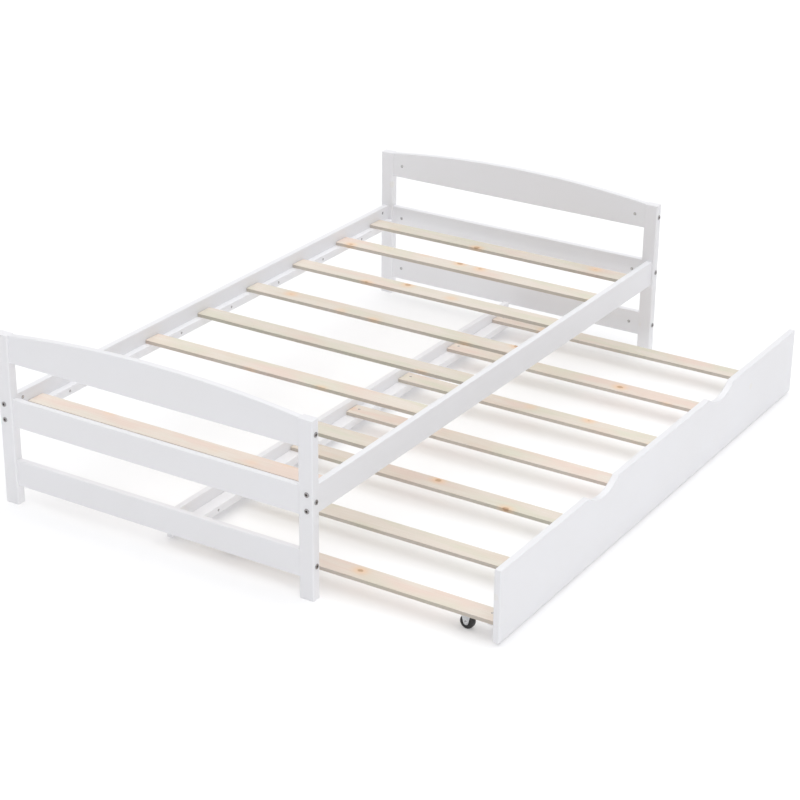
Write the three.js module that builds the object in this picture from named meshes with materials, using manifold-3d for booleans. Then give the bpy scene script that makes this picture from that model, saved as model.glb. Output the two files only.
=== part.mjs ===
// Trundle bed: two end panels joined by side rails, a slatted deck, and a slatted trundle on casters.
// Millimetres. X runs across the bed, Y along it towards the head, Z up, floor at Z = 0.
import * as THREE from 'three';
import { mergeVertices } from 'three/addons/utils/BufferGeometryUtils.js';
import Module from 'manifold-3d';

const wasm = await Module();
wasm.setup();

// Driving dimensions
const bedLength = 2000;
const bedWidth = 1057;
const postHeight = 517;
const postWidth = 45;
const postDepth = 30;
const postRound = 4;

const boardThickness = 19;
const boardInset = 5.5;            // from the post's outer end face to the boards' face
const topBoardBottom = 434;
const archRise = 30;
const middleRailBottom = 241;
const middleRailHeight = 84;
const lowerRailBottom = 59;
const lowerRailHeight = 80;
const edgeRound = 3;

const sideRailInset = 8.5;         // from the post's outer side face to the rail's outer face
const sideRailThickness = 20;
const sideRailBottom = 242;
const sideRailHeight = 83;

const bedLedgerWidth = 22;
const bedLedgerHeight = 25;
const bedLedgerBottom = 253;

const slatWidth = 62;
const slatThickness = 12;
const slatEndGap = 2;
const bedSlatCount = 8;
const bedSlatPitch = 257;
const bedSlatEnds = [-885, 881];   // centres of the two slats beside the end panels
const bedSlatSecond = -615;

const trundleFrontFace = 1045;     // outer face of the front board, measured from the bed's middle
const trundleHalfLength = 934;
const frontBoardThickness = 20;
const frontBoardBottom = 8;
const frontBoardTop = 217;
const rearRailFace = -5;
const rearRailTop = 86;
const trundleLedgerWidth = 40;
const trundleLedgerHeight = 24;
const trundleLedgerBottom = 26;
const trundleLedgerHalfLength = 890;
const trundleSlatCount = 7;
const trundleSlatFirst = -892;
const trundleSlatSecond = -637;
const trundleSlatPitch = 297;

const handHoldY = 378;
const handHoldLength = 172;
const handHoldDepth = 30;

const wheelRadius = 20;
const wheelWidth = 18;
const axleRadius = 3;
const axleRunningGap = 0.08;
const frontCasterInset = 115;      // from the front board's outer face to the wheels' axles
const rearCasterInset = 200;       // from the rear rail's outer face
const forkWall = 2;
const forkSideGap = 1;
const forkPlateLength = 46;
const forkPlateWidth = 34;

const boltHeadRadius = 7.5;
const boltHeadHeight = 2.5;
const boltShankRadius = 3;
const boltLength = 78;
const boltClearance = 0.3;
const boltHeights = [260, 307];

// Values worked out from the driving dimensions
const halfWidth = bedWidth / 2;
const halfLength = bedLength / 2;
const panelInside = halfWidth - postWidth;
const railOuter = halfWidth - sideRailInset;
const railInner = railOuter - sideRailThickness;
const railHalfLength = halfLength - postDepth;
const boardCentre = halfLength - boardInset - boardThickness / 2;
const bedLedgerTop = bedLedgerBottom + bedLedgerHeight;
const trundleLedgerTop = trundleLedgerBottom + trundleLedgerHeight;
const frontBoardInside = trundleFrontFace - frontBoardThickness;
const rearRailInside = rearRailFace + boardThickness;
const middleOfBox = (trundleFrontFace - halfWidth) / 2;

const paint = { color: 0xeeeef1, roughness: 0.42, metalness: 0 };
const pine = { color: 0xe4cfae, roughness: 0.6, metalness: 0 };
const zinc = { color: 0xb4b6ba, roughness: 0.35, metalness: 1 };
const darkSteel = { color: 0x5b5d62, roughness: 0.4, metalness: 1 };
const wheelBlack = { color: 0x161617, roughness: 0.5, metalness: 0 };

const bed = new THREE.Group();
bed.name = 'trundle_bed';

// Every piece goes through here, so the whole bed is centred over its own footprint.
function addPiece(name, geometry, finish) {
  const piece = new THREE.Mesh(geometry, new THREE.MeshStandardMaterial(finish));
  piece.name = name;
  piece.position.x = -middleOfBox;
  bed.add(piece);
}

function toSolid(geometry) {
  const bare = geometry.clone();
  bare.deleteAttribute('normal');
  bare.deleteAttribute('uv');
  const merged = mergeVertices(bare, 1e-4);
  const vertProperties = new Float32Array(merged.attributes.position.array);
  const triVerts = new Uint32Array(merged.index.array);
  return new wasm.Manifold(new wasm.Mesh({ numProp: 3, vertProperties, triVerts }));
}

function toGeometry(solid) {
  const mesh = solid.getMesh();
  const geometry = new THREE.BufferGeometry();
  geometry.setAttribute('position', new THREE.BufferAttribute(mesh.vertProperties, 3));
  geometry.setIndex(new THREE.BufferAttribute(mesh.triVerts, 1));
  geometry.computeVertexNormals();
  return geometry;
}

function block(width, depth, height, x, y, z) {
  const geometry = new THREE.BoxGeometry(width, depth, height);
  geometry.translate(x, y, z + height / 2);
  return geometry;
}

function roundedRectangle(width, height, radius) {
  const x = width / 2;
  const y = height / 2;
  const shape = new THREE.Shape();
  shape.absarc(x - radius, y - radius, radius, 0, Math.PI / 2);
  shape.absarc(radius - x, y - radius, radius, Math.PI / 2, Math.PI);
  shape.absarc(radius - x, radius - y, radius, Math.PI, 1.5 * Math.PI);
  shape.absarc(x - radius, radius - y, radius, 1.5 * Math.PI, 2 * Math.PI);
  return shape;
}

// A straight stick with its four long edges rounded, standing on its end at the origin.
function stick(length, width, height, radius) {
  const outline = roundedRectangle(width, height, radius);
  return new THREE.ExtrudeGeometry(outline, { depth: length, bevelEnabled: false, curveSegments: 3 });
}

// The same stick laid along Y, centred on X = 0 and Y = 0, with its underside at Z = 0.
function stickAlongY(length, width, height, radius) {
  const geometry = stick(length, width, height, radius);
  geometry.rotateX(Math.PI / 2);
  geometry.translate(0, length / 2, height / 2);
  return geometry;
}

function stickAlongX(length, width, height, radius) {
  const geometry = stickAlongY(length, width, height, radius);
  geometry.rotateZ(-Math.PI / 2);
  return geometry;
}

function rodAlongY(radius, length, segments = 16) {
  return new THREE.CylinderGeometry(radius, radius, length, segments);
}

// --- end panels ---

function post(side, end) {
  const geometry = stick(postHeight, postWidth, postDepth, postRound);
  geometry.translate(side * (halfWidth - postWidth / 2), end * (halfLength - postDepth / 2), 0);
  let solid = toSolid(geometry);
  for (const height of boltHeights) {
    const hole = rodAlongY(boltShankRadius + boltClearance, 3 * postDepth);
    hole.translate(side * (railInner + sideRailThickness / 2), end * halfLength, height);
    solid = solid.subtract(toSolid(hole));
  }
  return toGeometry(solid);
}

function arcThrough(halfChord, rise) {
  const radius = (halfChord * halfChord + rise * rise) / (2 * rise);
  return { radius, halfAngle: Math.asin(halfChord / radius) };
}

function topBoard(end) {
  const overrun = 5;                 // cut off again, so the rounding stays off the joints
  const { radius, halfAngle } = arcThrough(panelInside, archRise);
  const archCentre = postHeight + archRise - radius;
  const outline = new THREE.Shape();
  outline.moveTo(-panelInside - overrun, topBoardBottom);
  outline.lineTo(panelInside + overrun, topBoardBottom);
  outline.lineTo(panelInside + overrun, postHeight);
  outline.absarc(0, archCentre, radius, Math.PI / 2 - halfAngle, Math.PI / 2 + halfAngle, false);
  outline.lineTo(-panelInside - overrun, postHeight);
  const geometry = new THREE.ExtrudeGeometry(outline, {
    depth: boardThickness - 2 * edgeRound, curveSegments: 24,
    bevelThickness: edgeRound, bevelSize: edgeRound, bevelOffset: -edgeRound, bevelSegments: 2,
  });
  geometry.translate(0, 0, -boardThickness / 2 + edgeRound);
  geometry.rotateX(Math.PI / 2);
  geometry.translate(0, end * boardCentre, 0);
  const keep = block(2 * panelInside, bedWidth, bedWidth, 0, end * boardCentre, 0);
  return toGeometry(toSolid(geometry).intersect(toSolid(keep)));
}

function panelRail(end, bottom, height) {
  const geometry = stickAlongX(2 * panelInside, boardThickness, height, edgeRound);
  geometry.translate(0, end * boardCentre, bottom);
  return geometry;
}

function endPanel(endName, end) {
  addPiece(`${endName}_post_left`, post(-1, end), paint);
  addPiece(`${endName}_post_right`, post(1, end), paint);
  addPiece(`${endName}_top_board`, topBoard(end), paint);
  addPiece(`${endName}_middle_rail`, panelRail(end, middleRailBottom, middleRailHeight), paint);
  addPiece(`${endName}_lower_rail`, panelRail(end, lowerRailBottom, lowerRailHeight), paint);
}

// --- side rails, their bolts and ledgers ---

function sideRail(side) {
  const middle = side * (railInner + sideRailThickness / 2);
  const geometry = stickAlongY(2 * railHalfLength, sideRailThickness, sideRailHeight, edgeRound);
  geometry.translate(middle, 0, sideRailBottom);
  let solid = toSolid(geometry);
  for (const end of [-1, 1]) {
    for (const height of boltHeights) {
      const depth = boltLength - postDepth + 4;
      const hole = rodAlongY(boltShankRadius + boltClearance, 2 * depth);
      hole.translate(middle, end * railHalfLength, height);
      solid = solid.subtract(toSolid(hole));
    }
  }
  return toGeometry(solid);
}

// Flat round head on the post's end face, shank running in towards the middle of the bed.
function railBolt(side, end, height) {
  const profile = [
    new THREE.Vector2(0, -boltLength),
    new THREE.Vector2(boltShankRadius, -boltLength),
    new THREE.Vector2(boltShankRadius, 0),
    new THREE.Vector2(boltHeadRadius, 0),
    new THREE.Vector2(boltHeadRadius, boltHeadHeight - 0.8),
    new THREE.Vector2(boltHeadRadius - 0.8, boltHeadHeight),
    new THREE.Vector2(0, boltHeadHeight),
  ];
  const geometry = new THREE.LatheGeometry(profile, 18);
  if (end < 0) geometry.rotateZ(Math.PI);
  geometry.translate(side * (railInner + sideRailThickness / 2), end * halfLength, height);
  return geometry;
}

function bedLedger(side) {
  const geometry = stickAlongY(2 * railHalfLength - 10, bedLedgerWidth, bedLedgerHeight, 2);
  geometry.translate(side * (railInner - bedLedgerWidth / 2), 0, bedLedgerBottom);
  return geometry;
}

function bedSlatCentre(index) {
  if (index === 0) return bedSlatEnds[0];
  if (index === bedSlatCount - 1) return bedSlatEnds[1];
  return bedSlatSecond + bedSlatPitch * (index - 1);
}

function bedSlat(index) {
  const length = 2 * (railInner - slatEndGap);
  const geometry = stickAlongX(length, slatWidth, slatThickness, 2);
  geometry.translate(0, bedSlatCentre(index), bedLedgerTop);
  return geometry;
}

// --- trundle ---

// Front board standing on edge, its top edge scooped out in two places for the hands.
function frontBoard() {
  const bottom = frontBoardBottom;
  const top = frontBoardTop;
  const { radius, halfAngle } = arcThrough(handHoldLength / 2, handHoldDepth);
  const scoopCentre = top - handHoldDepth + radius;
  const outline = new THREE.Shape();
  outline.moveTo(-trundleHalfLength, bottom);
  outline.lineTo(trundleHalfLength, bottom);
  outline.lineTo(trundleHalfLength, top);
  for (const middle of [handHoldY, -handHoldY]) {
    const start = -Math.PI / 2 + halfAngle;
    outline.absarc(middle, scoopCentre, radius, start, -Math.PI / 2 - halfAngle, true);
  }
  outline.lineTo(-trundleHalfLength, top);
  const geometry = new THREE.ExtrudeGeometry(outline, {
    depth: frontBoardThickness - 2 * edgeRound, curveSegments: 12,
    bevelThickness: edgeRound, bevelSize: edgeRound, bevelOffset: -edgeRound, bevelSegments: 2,
  });
  geometry.rotateX(Math.PI / 2);
  geometry.rotateZ(Math.PI / 2);
  geometry.translate(frontBoardInside + edgeRound, 0, 0);
  return geometry;
}

function rearRail() {
  const height = rearRailTop - frontBoardBottom;
  const geometry = stickAlongY(2 * trundleHalfLength, boardThickness, height, edgeRound);
  geometry.translate(rearRailFace + boardThickness / 2, 0, frontBoardBottom);
  return geometry;
}

function trundleLedger(middle) {
  const geometry = stickAlongY(2 * trundleLedgerHalfLength, trundleLedgerWidth, trundleLedgerHeight, 2);
  geometry.translate(middle, 0, trundleLedgerBottom);
  return geometry;
}

function trundleSlatCentre(index) {
  if (index === 0) return trundleSlatFirst;
  return trundleSlatSecond + trundleSlatPitch * (index - 1);
}

function trundleSlat(index) {
  const length = frontBoardInside - rearRailInside - 2 * slatEndGap;
  const geometry = stickAlongX(length, slatWidth, slatThickness, 2);
  geometry.translate((frontBoardInside + rearRailInside) / 2, trundleSlatCentre(index), trundleLedgerTop);
  return geometry;
}

// --- casters, fixed to roll across the bed ---

// One leg of the fork: broad under the plate, narrowing to a round end about the axle.
function forkLeg(y) {
  const endRadius = 7.5;
  const topHalf = 14;
  const top = trundleLedgerTop - forkWall / 2 - wheelRadius;
  const outline = new THREE.Shape();
  outline.moveTo(-topHalf, top);
  outline.absarc(0, 0, endRadius, Math.PI * 0.94, Math.PI * 2.06, false);
  outline.lineTo(topHalf, top);
  const hole = new THREE.Path();
  hole.absarc(0, 0, axleRadius + boltClearance, 0, 2 * Math.PI, true);
  outline.holes.push(hole);
  const geometry = new THREE.ExtrudeGeometry(outline, {
    depth: forkWall, bevelEnabled: false, curveSegments: 8,
  });
  geometry.rotateX(Math.PI / 2);
  geometry.translate(0, y + forkWall, wheelRadius);
  return geometry;
}

function casterFork() {
  const legInside = wheelWidth / 2 + forkSideGap;
  const plateBottom = trundleLedgerTop - forkWall;
  let solid = toSolid(block(forkPlateLength, forkPlateWidth, forkWall, 0, 0, plateBottom));
  solid = solid.add(toSolid(forkLeg(legInside)));
  solid = solid.add(toSolid(forkLeg(-legInside - forkWall)));
  return toGeometry(solid);
}

// Tyre and hub in one, bored for the axle.
function casterWheel() {
  const half = wheelWidth / 2;
  const bore = axleRadius + axleRunningGap;
  const hubRadius = 7;
  const webHalf = half - 2.5;
  const rimRadius = 14;
  const profile = [
    new THREE.Vector2(bore, -half),
    new THREE.Vector2(hubRadius, -half),
    new THREE.Vector2(hubRadius, -webHalf),
    new THREE.Vector2(rimRadius, -webHalf),
    new THREE.Vector2(rimRadius, -half),
    new THREE.Vector2(wheelRadius - 3, -half),
    new THREE.Vector2(wheelRadius - 0.8, -half + 1.6),
    new THREE.Vector2(wheelRadius, -half + 4),
    new THREE.Vector2(wheelRadius, half - 4),
    new THREE.Vector2(wheelRadius - 0.8, half - 1.6),
    new THREE.Vector2(wheelRadius - 3, half),
    new THREE.Vector2(rimRadius, half),
    new THREE.Vector2(rimRadius, webHalf),
    new THREE.Vector2(hubRadius, webHalf),
    new THREE.Vector2(hubRadius, half),
    new THREE.Vector2(bore, half),
    new THREE.Vector2(bore, -half),
  ];
  return new THREE.LatheGeometry(profile, 30);
}

// Riveted pin: a shank through both legs with a low head outside each.
function casterAxle() {
  const legOutside = wheelWidth / 2 + forkSideGap + forkWall + 0.1;
  const headHeight = 1.4;
  const headRadius = 5;
  const profile = [
    new THREE.Vector2(0, -legOutside - headHeight),
    new THREE.Vector2(headRadius - 1, -legOutside - headHeight),
    new THREE.Vector2(headRadius, -legOutside),
    new THREE.Vector2(axleRadius, -legOutside),
    new THREE.Vector2(axleRadius, legOutside),
    new THREE.Vector2(headRadius, legOutside),
    new THREE.Vector2(headRadius - 1, legOutside + headHeight),
    new THREE.Vector2(0, legOutside + headHeight),
  ];
  return new THREE.LatheGeometry(profile, 20);
}

function caster(name, x, y) {
  addPiece(`${name}_fork`, casterFork().translate(x, y, 0), zinc);
  addPiece(`${name}_wheel`, casterWheel().translate(x, y, wheelRadius), wheelBlack);
  addPiece(`${name}_axle`, casterAxle().translate(x, y, wheelRadius), zinc);
}

// --- the whole bed ---

endPanel('foot', -1);
endPanel('head', 1);

for (const [sideName, side] of [['left', -1], ['right', 1]]) {
  addPiece(`side_rail_${sideName}`, sideRail(side), paint);
  addPiece(`ledger_${sideName}`, bedLedger(side), paint);
  for (const [endName, end] of [['foot', -1], ['head', 1]]) {
    for (const [level, height] of [['lower', boltHeights[0]], ['upper', boltHeights[1]]]) {
      addPiece(`bolt_${endName}_${sideName}_${level}`, railBolt(side, end, height), darkSteel);
    }
  }
}

for (let index = 0; index < bedSlatCount; index++) {
  addPiece(`slat_${index + 1}`, bedSlat(index), pine);
}

addPiece('trundle_front_board', frontBoard(), paint);
addPiece('trundle_rear_rail', rearRail(), paint);
addPiece('trundle_ledger_front', trundleLedger(frontBoardInside - trundleLedgerWidth / 2), paint);
addPiece('trundle_ledger_rear', trundleLedger(rearRailInside + trundleLedgerWidth / 2), paint);
for (let index = 0; index < trundleSlatCount; index++) {
  addPiece(`trundle_slat_${index + 1}`, trundleSlat(index), pine);
}

const lastSlat = trundleSlatCentre(trundleSlatCount - 1);
caster('caster_front_foot', trundleFrontFace - frontCasterInset, trundleSlatFirst);
caster('caster_front_head', trundleFrontFace - frontCasterInset, lastSlat);
caster('caster_rear_foot', rearRailFace + rearCasterInset, trundleSlatFirst);
caster('caster_rear_head', rearRailFace + rearCasterInset, lastSlat);

export default bed;
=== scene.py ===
# White painted bed with arched end panels, and a slatted trundle rolled out beside it.
# Metres. X runs across the bed, Y along it towards the head, Z up.
import bpy
import bmesh
import math
import random
from mathutils import Matrix, Vector


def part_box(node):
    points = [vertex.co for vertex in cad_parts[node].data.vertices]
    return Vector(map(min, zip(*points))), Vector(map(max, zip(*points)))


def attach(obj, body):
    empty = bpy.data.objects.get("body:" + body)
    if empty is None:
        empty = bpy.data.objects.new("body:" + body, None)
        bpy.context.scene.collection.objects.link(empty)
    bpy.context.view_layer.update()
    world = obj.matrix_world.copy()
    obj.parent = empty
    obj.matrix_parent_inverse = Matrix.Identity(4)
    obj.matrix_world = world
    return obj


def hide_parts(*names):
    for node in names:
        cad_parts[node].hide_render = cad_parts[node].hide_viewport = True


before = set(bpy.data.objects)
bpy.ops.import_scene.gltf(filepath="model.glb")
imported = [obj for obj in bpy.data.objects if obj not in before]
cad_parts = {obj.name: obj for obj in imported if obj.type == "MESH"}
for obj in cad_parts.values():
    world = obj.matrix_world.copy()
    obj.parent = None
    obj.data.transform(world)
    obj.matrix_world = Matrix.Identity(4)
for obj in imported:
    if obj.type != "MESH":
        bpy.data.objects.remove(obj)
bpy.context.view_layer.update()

mm = 0.001


# short ways to add and join shader nodes

def addNode(tree, kind, **settings):
    node = tree.nodes.new(kind)
    for key, value in settings.items():
        setattr(node, key, value)
    return node


def feed(tree, socket, value):
    # a value is a number, a colour or another node's output
    if isinstance(value, bpy.types.NodeSocket):
        tree.links.new(value, socket)
    elif value is not None:
        socket.default_value = value


def mathNode(tree, operation, a, b=None, c=None, clamp=False):
    node = addNode(tree, "ShaderNodeMath", operation=operation, use_clamp=clamp)
    for socket, value in zip(node.inputs, (a, b, c)):
        feed(tree, socket, value)
    return node.outputs[0]


def mixColour(tree, factor, a, b):
    node = addNode(tree, "ShaderNodeMix", data_type="RGBA")
    feed(tree, node.inputs[0], factor)
    feed(tree, node.inputs[6], a)
    feed(tree, node.inputs[7], b)
    return node.outputs[2]


def mapRange(tree, value, fromLow, fromHigh, toLow, toHigh, smooth=False):
    kind = "SMOOTHSTEP" if smooth else "LINEAR"
    node = addNode(tree, "ShaderNodeMapRange", interpolation_type=kind)
    for socket, number in zip(node.inputs, (value, fromLow, fromHigh, toLow, toHigh)):
        feed(tree, socket, number)
    return node.outputs[0]


def scaledPoint(tree, point, scale):
    node = addNode(tree, "ShaderNodeVectorMath", operation="MULTIPLY")
    feed(tree, node.inputs[0], point)
    node.inputs[1].default_value = scale
    return node.outputs[0]


def noiseNode(tree, point, scale, detail=2.0, roughness=0.5, colour=False):
    node = addNode(tree, "ShaderNodeTexNoise")
    feed(tree, node.inputs["Vector"], point)
    feed(tree, node.inputs["Scale"], scale)
    node.inputs["Detail"].default_value = detail
    node.inputs["Roughness"].default_value = roughness
    return node.outputs["Color" if colour else "Fac"]


def newGroup(name, inputs, outputs):
    group = bpy.data.node_groups.new(name, "ShaderNodeTree")
    for label, kind, value in inputs:
        socket = group.interface.new_socket(name=label, in_out="INPUT", socket_type=kind)
        if value is not None:
            socket.default_value = value
    for label, kind in outputs:
        group.interface.new_socket(name=label, in_out="OUTPUT", socket_type=kind)
    start = addNode(group, "NodeGroupInput")
    end = addNode(group, "NodeGroupOutput")
    return group, start.outputs, end.inputs


def useGroup(tree, group, **values):
    node = addNode(tree, "ShaderNodeGroup", node_tree=group)
    for label, value in values.items():
        feed(tree, node.inputs[label], value)
    return node.outputs


def layOut(tree):
    # for the node editor only: each node stands one column to the left of what it feeds
    columns = {node.name: 0 for node in tree.nodes}
    for _ in columns:
        for link in tree.links:
            source, target = link.from_node.name, link.to_node.name
            columns[source] = max(columns[source], columns[target] + 1)
    rows = {}
    for node in tree.nodes:
        column = columns[node.name]
        rows[column] = rows.get(column, 0) + 1
        node.location = (-220 * column, -280 * rows[column])


# effects shared by the materials, as node groups

def makeBoardGrain():
    # solid pine figure: X along the trunk, growth rings about a pith line, and a few knots
    group, inp, out = newGroup(
        "boardGrain",
        [("Point", "NodeSocketVector", None), ("RingSpacing", "NodeSocketFloat", 0.0032),
         ("Wander", "NodeSocketFloat", 0.012), ("KnotScale", "NodeSocketFloat", 8.0),
         ("KnotSize", "NodeSocketFloat", 0.085)],
        [("Rings", "NodeSocketFloat"), ("Fibres", "NodeSocketFloat"),
         ("Knots", "NodeSocketFloat"), ("KnotHalo", "NodeSocketFloat"), ("Patches", "NodeSocketFloat")])
    point = inp["Point"]
    # knots: cells whose middles come close to the surface
    knotCells = addNode(group, "ShaderNodeTexVoronoi", feature="F1")
    feed(group, knotCells.inputs["Vector"], scaledPoint(group, point, (0.8, 1.0, 1.0)))
    feed(group, knotCells.inputs["Scale"], inp["KnotScale"])
    knotDistance = knotCells.outputs["Distance"]
    halo = mapRange(group, knotDistance, 0.0, 0.32, 1.0, 0.0, smooth=True)
    wobble = noiseNode(group, point, 160.0, 2.0, 0.6)
    roughDistance = mathNode(group, "MULTIPLY_ADD", wobble, 0.035, knotDistance)
    knotSize = mathNode(group, "ADD", inp["KnotSize"], 0.018)
    inner = mathNode(group, "MULTIPLY", knotSize, 0.72)
    knots = mapRange(group, roughDistance, inner, knotSize, 1.0, 0.0, smooth=True)
    # growth rings, wandering slowly along the board and pushed aside by knots
    slow = noiseNode(group, scaledPoint(group, point, (1.3, 4.0, 4.0)), 1.0, 2.0, 0.45, colour=True)
    centred = addNode(group, "ShaderNodeVectorMath", operation="SUBTRACT")
    feed(group, centred.inputs[0], slow)
    centred.inputs[1].default_value = (0.5, 0.5, 0.5)
    moved = addNode(group, "ShaderNodeVectorMath", operation="SCALE")
    feed(group, moved.inputs[0], centred.outputs[0])
    feed(group, moved.inputs["Scale"], mathNode(group, "MULTIPLY", inp["Wander"], 4.0))
    wandered = addNode(group, "ShaderNodeVectorMath", operation="ADD")
    feed(group, wandered.inputs[0], moved.outputs[0])
    feed(group, wandered.inputs[1], point)
    split = addNode(group, "ShaderNodeSeparateXYZ")
    feed(group, split.inputs[0], wandered.outputs[0])
    across = mathNode(group, "POWER", split.outputs["Y"], 2.0)
    through = mathNode(group, "POWER", split.outputs["Z"], 2.0)
    radius = mathNode(group, "SQRT", mathNode(group, "ADD", across, through))
    pushed = mathNode(group, "MULTIPLY_ADD", halo, 0.011, radius)
    turns = mathNode(group, "DIVIDE", pushed, inp["RingSpacing"])
    fine = noiseNode(group, scaledPoint(group, point, (5.0, 60.0, 60.0)), 1.0, 2.0, 0.5)
    turns = mathNode(group, "MULTIPLY_ADD", fine, 0.9, turns)
    saw = mathNode(group, "FRACT", turns)
    rings = mathNode(group, "POWER", saw, 2.4)      # slow rise, sharp fall at the late wood
    fall = mapRange(group, saw, 0.93, 1.0, 1.0, 0.0)
    feed(group, out["Rings"], mathNode(group, "MULTIPLY", rings, fall))
    fibres = scaledPoint(group, point, (9.0, 420.0, 420.0))
    feed(group, out["Fibres"], noiseNode(group, fibres, 1.0, 3.0, 0.65))
    feed(group, out["Knots"], knots)
    feed(group, out["KnotHalo"], halo)
    patches = scaledPoint(group, point, (5.5, 22.0, 22.0))
    feed(group, out["Patches"], noiseNode(group, patches, 1.0, 2.0, 0.5))
    return group


def makeHandling():
    # soft smears, specks and dust that any finish picks up
    group, inp, out = newGroup(
        "handling",
        [("Point", "NodeSocketVector", None), ("SmearScale", "NodeSocketFloat", 6.0),
         ("SpeckScale", "NodeSocketFloat", 420.0)],
        [("Smears", "NodeSocketFloat"), ("Specks", "NodeSocketFloat"), ("Stipple", "NodeSocketFloat")])
    point = inp["Point"]
    smears = noiseNode(group, point, inp["SmearScale"], 4.0, 0.6)
    feed(group, out["Smears"], mapRange(group, smears, 0.35, 0.7, 0.0, 1.0))
    specks = noiseNode(group, point, inp["SpeckScale"], 1.0, 0.5)
    feed(group, out["Specks"], mapRange(group, specks, 0.7, 0.78, 0.0, 1.0))
    feed(group, out["Stipple"], noiseNode(group, point, 900.0, 3.0, 0.6))
    return group


def makeEdgeWearAndHighlight():
    # Wear is bright on outside corners, broken up so it never runs as a clean line; Edge is the unbroken corner
    # mask, which the steel uses as a painted highlight
    group, inp, out = newGroup(
        "edgeWear",
        [("Point", "NodeSocketVector", None), ("Start", "NodeSocketFloat", 0.56),
         ("Full", "NodeSocketFloat", 0.66)],
        [("Wear", "NodeSocketFloat"), ("Edge", "NodeSocketFloat")])
    geometry = addNode(group, "ShaderNodeNewGeometry")
    edge = mapRange(group, geometry.outputs["Pointiness"], inp["Start"], inp["Full"], 0.0, 1.0, smooth=True)
    broken = noiseNode(group, inp["Point"], 55.0, 4.0, 0.7)
    patches = mapRange(group, broken, 0.5, 0.72, 0.0, 1.0)
    feed(group, out["Wear"], mathNode(group, "MULTIPLY", edge, patches))
    feed(group, out["Edge"], edge)
    return group


boardGrain = makeBoardGrain()
handling = makeHandling()
edgeWear = makeEdgeWearAndHighlight()
print("shader groups: made")


# one material for each finish

def startMaterial(name):
    material = bpy.data.materials.new(name)
    material.use_nodes = True
    tree = material.node_tree
    tree.nodes.clear()
    shader = addNode(tree, "ShaderNodeBsdfPrincipled")
    output = addNode(tree, "ShaderNodeOutputMaterial")
    tree.links.new(shader.outputs[0], output.inputs["Surface"])
    point = addNode(tree, "ShaderNodeAttribute", attribute_name="grainPoint").outputs["Vector"]
    return material, tree, shader, point


def addBump(tree, shader, heights):
    # heights is a list of (height output, strength, distance in metres), laid over each other
    previous = None
    for height, strength, distance in heights:
        bump = addNode(tree, "ShaderNodeBump")
        bump.inputs["Strength"].default_value = strength
        bump.inputs["Distance"].default_value = distance
        feed(tree, bump.inputs["Height"], height)
        if previous is not None:
            tree.links.new(previous, bump.inputs["Normal"])
        previous = bump.outputs[0]
    tree.links.new(previous, shader.inputs["Normal"])


whitePaintValues = {
    "colour": (0.80, 0.80, 0.825, 1),          # cool satin white
    "thinColour": (0.79, 0.775, 0.765, 1),     # over knots and dark growth rings
    "wornColour": (0.74, 0.71, 0.66, 1),
    "roughness": (0.36, 0.52),
    "grain": {"RingSpacing": 0.0042, "Wander": 0.016, "KnotScale": 6.5, "KnotSize": 0.075},
    "marks": {"SmearScale": 4.0, "SpeckScale": 300.0},
    # how far each mark shows through or wears the paint, 0 to 1
    "ringShow": 0.22, "knotShow": 0.75, "smearShow": 0.18, "edgeShow": 0.35,
    "ringRelief": 0.16 * mm, "fibreRelief": 0.07 * mm, "knotRelief": 0.2 * mm, "rollerRelief": 0.04 * mm,
}


def makeWhitePaint(values):
    material, tree, shader, point = startMaterial("whitePaint")
    grain = useGroup(tree, boardGrain, Point=point, **values["grain"])
    marks = useGroup(tree, handling, Point=point, **values["marks"])
    edges = useGroup(tree, edgeWear, Point=point)
    through = mathNode(tree, "MULTIPLY", grain["Rings"], values["ringShow"])
    through = mathNode(tree, "MULTIPLY_ADD", grain["Knots"], values["knotShow"], through, clamp=True)
    through = mathNode(tree, "MULTIPLY_ADD", marks["Smears"], values["smearShow"], through, clamp=True)
    colour = mixColour(tree, through, values["colour"], values["thinColour"])
    wornShare = mathNode(tree, "MULTIPLY", edges["Wear"], values["edgeShow"])
    colour = mixColour(tree, wornShare, colour, values["wornColour"])
    feed(tree, shader.inputs["Base Color"], colour)
    rough = mapRange(tree, marks["Smears"], 0.0, 1.0, *values["roughness"])
    rough = mathNode(tree, "MULTIPLY_ADD", grain["Fibres"], 0.08, rough)
    feed(tree, shader.inputs["Roughness"], rough)
    shader.inputs["IOR"].default_value = 1.48
    addBump(tree, shader, [
        (grain["Rings"], 0.35, values["ringRelief"]),
        (grain["Fibres"], 0.4, values["fibreRelief"]),
        (grain["Knots"], 0.5, values["knotRelief"]),
        (marks["Stipple"], 0.25, values["rollerRelief"])])
    return material


pineValues = {
    "earlyWood": (0.77, 0.715, 0.65, 1),
    "lateWood": (0.64, 0.53, 0.42, 1),
    "greenish": (0.655, 0.655, 0.53, 1),
    "pinkish": (0.755, 0.595, 0.525, 1),
    "knot": (0.46, 0.27, 0.15, 1),
    "halo": (0.80, 0.55, 0.35, 1),
    "roughness": (0.52, 0.7),
    "grain": {"RingSpacing": 0.0036, "Wander": 0.011, "KnotScale": 8.5, "KnotSize": 0.082},
    # how strongly each figure colours the wood, 0 to 1
    "ringShow": 0.62, "patchShow": 0.68, "fibreShow": 0.4, "haloShow": 0.9, "knotShow": 0.7,
    "boardBrightness": (0.93, 1.04),           # from the darkest board to the palest
    # the sawn brightness factor is painted shade on the slats' narrow sides and ends; the sawn roughness and
    # saw marks are real
    "sawnPaintedShade": 0.72, "sawnRoughness": 0.15, "sawMarkScale": 130.0,
    "ringRelief": 0.2 * mm, "fibreRelief": 0.15 * mm, "knotRelief": 0.3 * mm, "sawRelief": 0.25 * mm,
}


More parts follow.
